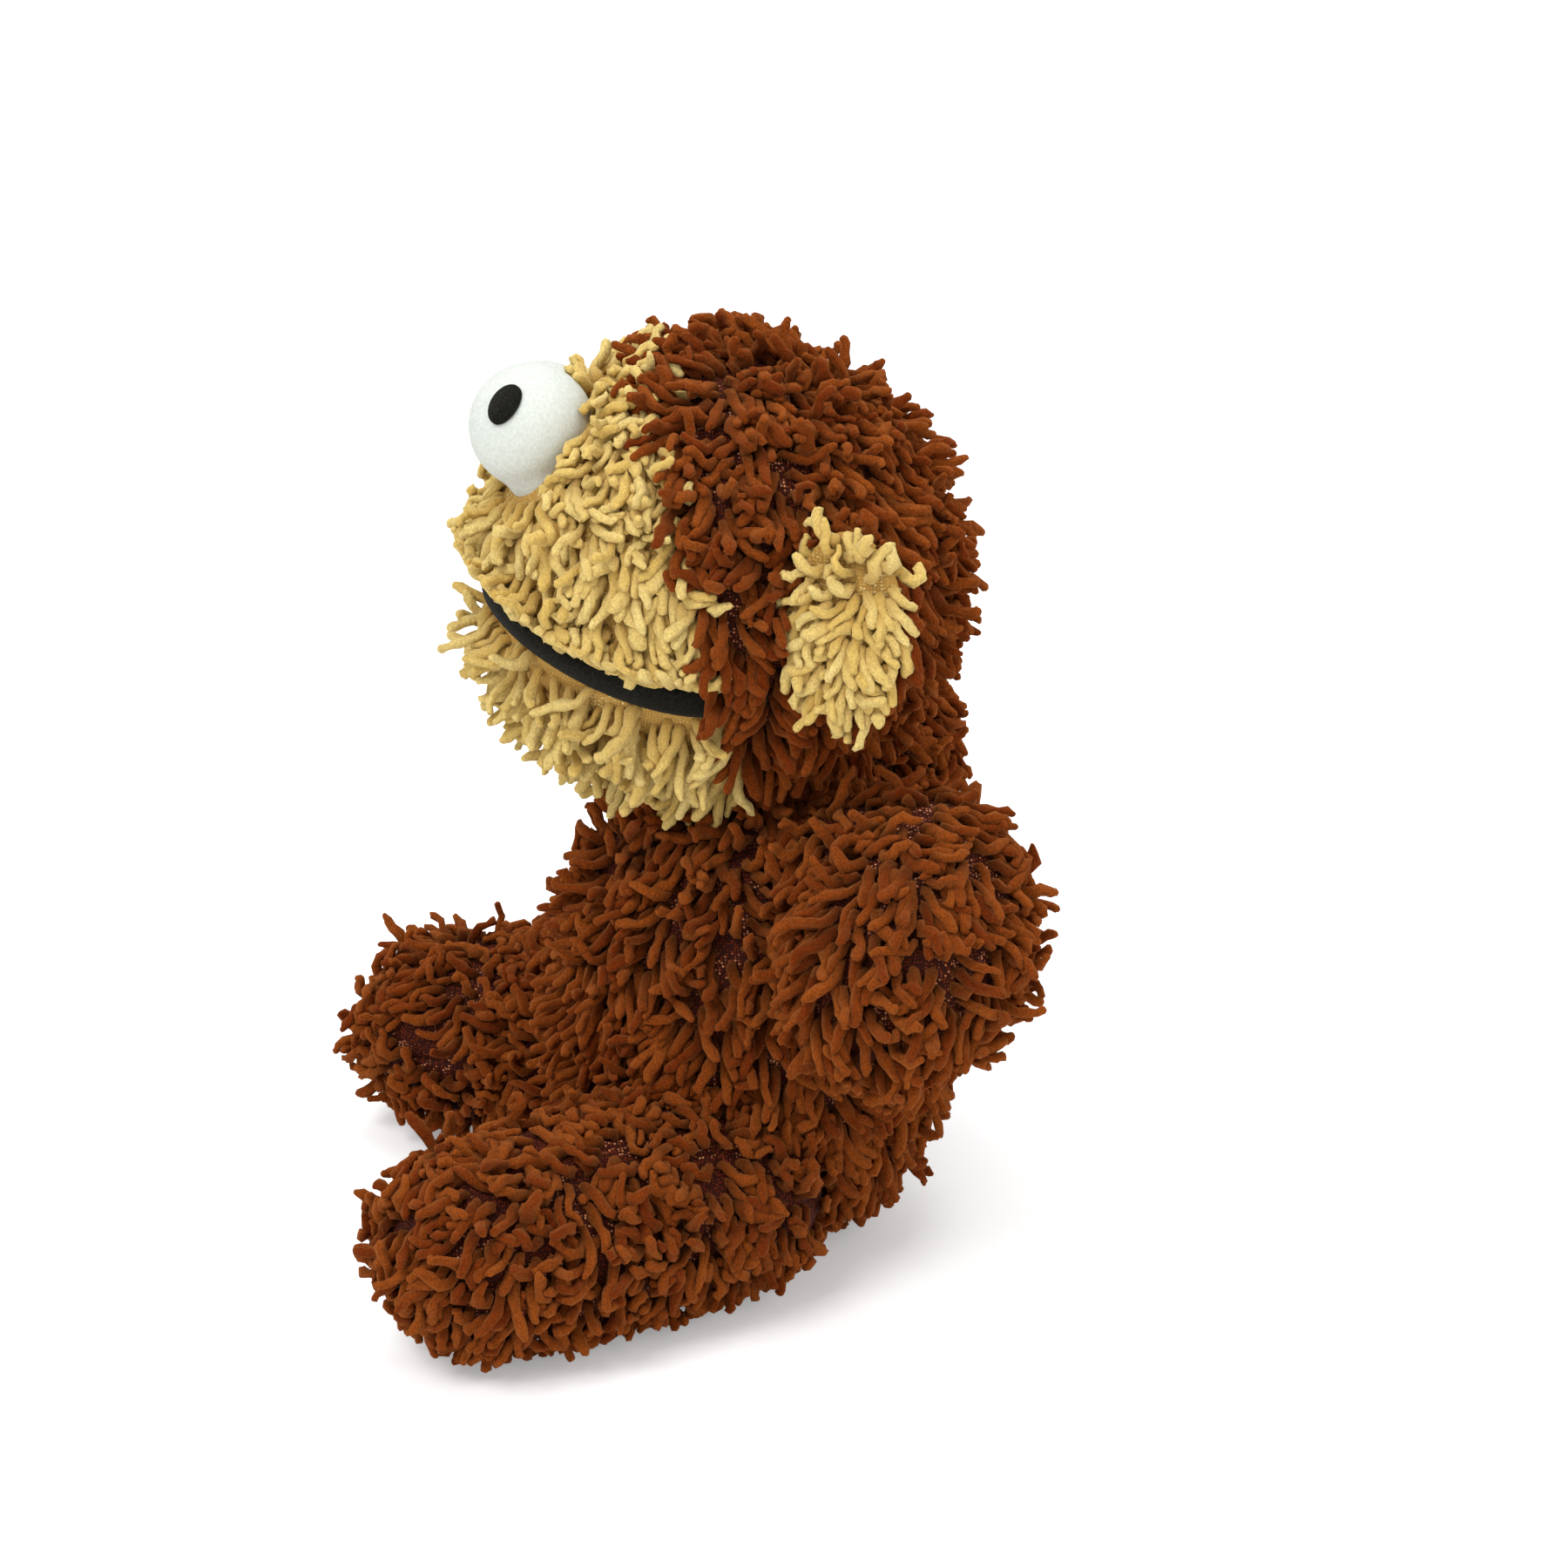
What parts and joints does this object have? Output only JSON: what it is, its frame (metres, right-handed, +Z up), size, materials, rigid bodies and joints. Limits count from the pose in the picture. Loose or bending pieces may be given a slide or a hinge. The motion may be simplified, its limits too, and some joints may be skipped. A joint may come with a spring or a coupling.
{
  "type": "stuffed monkey",
  "caption": "Seated stuffed monkey sewn from shaggy chenille, with a round head, tan face and ears, felt mouth, white pad eyes and short stuffed limbs.",
  "frame": {"origin": "on the floor under the middle of the toy's footprint", "axes": "+Z up, the toy faces -Y, its left side is +X"},
  "size_m": [0.2046, 0.1732, 0.251],
  "materials": {
    "brown_chenille": "shaggy microfibre chenille strands on a knitted backing, dark reddish brown, matt with a soft sheen",
    "tan_chenille": "shaggy microfibre chenille strands on a knitted backing, golden tan, matt with a soft sheen",
    "white_fleece": "short brushed fleece, off-white, matt",
    "black_felt": "pressed felt, near black, matt with a fine fuzz",
    "polyester_stuffing": "loose white polyester fibre fill, out of sight",
    "gusset_fabric": "plain brown knit, sewn inside the joints"
  },
  "bodies": {
    "torso": {"torso_front_panel": "brown_chenille", "torso_back_panel": "brown_chenille", "torso_stuffing": "polyester_stuffing"},
    "neck": {"neck_gusset": "gusset_fabric"},
    "head": {"hood_left": "brown_chenille", "hood_right": "brown_chenille", "face_upper": "tan_chenille", "face_lower": "tan_chenille", "mouth_strip": "black_felt", "head_stuffing": "polyester_stuffing", "eye_cover_left": "white_fleece", "eye_stuffing_left": "polyester_stuffing", "pupil_left": "black_felt", "eye_cover_right": "white_fleece", "eye_stuffing_right": "polyester_stuffing", "pupil_right": "black_felt"},
    "ear_left": {"ear_front_left": "tan_chenille", "ear_back_left": "brown_chenille"},
    "ear_right": {"ear_front_right": "tan_chenille", "ear_back_right": "brown_chenille"},
    "shoulder_left": {"shoulder_gusset_left": "gusset_fabric"},
    "arm_left": {"arm_outer_panel_left": "brown_chenille", "arm_inner_panel_left": "brown_chenille", "arm_stuffing_left": "polyester_stuffing"},
    "hip_left": {"hip_gusset_left": "gusset_fabric"},
    "leg_left": {"leg_upper_panel_left": "brown_chenille", "leg_sole_panel_left": "brown_chenille", "leg_stuffing_left": "polyester_stuffing"},
    "shoulder_right": {"shoulder_gusset_right": "gusset_fabric"},
    "arm_right": {"arm_outer_panel_right": "brown_chenille", "arm_inner_panel_right": "brown_chenille", "arm_stuffing_right": "polyester_stuffing"},
    "hip_right": {"hip_gusset_right": "gusset_fabric"},
    "leg_right": {"leg_upper_panel_right": "brown_chenille", "leg_sole_panel_right": "brown_chenille", "leg_stuffing_right": "polyester_stuffing"}
  },
  "joints": [
    {"name": "neck_turn", "type": "hinge", "parent": "torso", "child": "neck", "pos_m": [0, 0.01379, 0.127], "axis": [0, 0, 1], "range_deg": [-30, 30]},
    {"name": "neck_nod", "type": "hinge", "parent": "neck", "child": "head", "pos_m": [0, 0.01379, 0.127], "axis": [1, 0, 0], "range_deg": [-5, 10]},
    {"name": "ear_flap_left", "type": "hinge", "parent": "head", "child": "ear_left", "pos_m": [0.05757, 0.02208, 0.19327], "axis": [0.0872, 0, -0.9962], "range_deg": [-10, 20], "stiffness_Nm_per_rad": 0.01},
    {"name": "ear_flap_right", "type": "hinge", "parent": "head", "child": "ear_right", "pos_m": [-0.06511, 0.03503, 0.18254], "axis": [-0.0872, 0, 0.9962], "range_deg": [-10, 20], "stiffness_Nm_per_rad": 0.01},
    {"name": "shoulder_swing_left", "type": "hinge", "parent": "torso", "child": "shoulder_left", "pos_m": [0.05, 0.04579, 0.121], "axis": [-1, 0, 0], "range_deg": [-20, 25]},
    {"name": "shoulder_lift_left", "type": "hinge", "parent": "shoulder_left", "child": "arm_left", "pos_m": [0.05, 0.04579, 0.121], "axis": [0, -1, 0], "range_deg": [-5, 25]},
    {"name": "hip_raise_left", "type": "hinge", "parent": "torso", "child": "hip_left", "pos_m": [0.04, 0.00779, 0.031], "axis": [-1, 0, 0], "range_deg": [0, 25]},
    {"name": "hip_splay_left", "type": "hinge", "parent": "hip_left", "child": "leg_left", "pos_m": [0.04, 0.00779, 0.031], "axis": [0, 0, 1], "range_deg": [-12, 18]},
    {"name": "shoulder_swing_right", "type": "hinge", "parent": "torso", "child": "shoulder_right", "pos_m": [-0.05, 0.04579, 0.121], "axis": [-1, 0, 0], "range_deg": [-20, 25]},
    {"name": "shoulder_lift_right", "type": "hinge", "parent": "shoulder_right", "child": "arm_right", "pos_m": [-0.05, 0.04579, 0.121], "axis": [0, 1, 0], "range_deg": [-5, 25]},
    {"name": "hip_raise_right", "type": "hinge", "parent": "torso", "child": "hip_right", "pos_m": [-0.04, 0.00779, 0.031], "axis": [-1, 0, 0], "range_deg": [0, 25]},
    {"name": "hip_splay_right", "type": "hinge", "parent": "hip_right", "child": "leg_right", "pos_m": [-0.04, 0.00779, 0.031], "axis": [0, 0, -1], "range_deg": [-12, 18]}
  ]
}
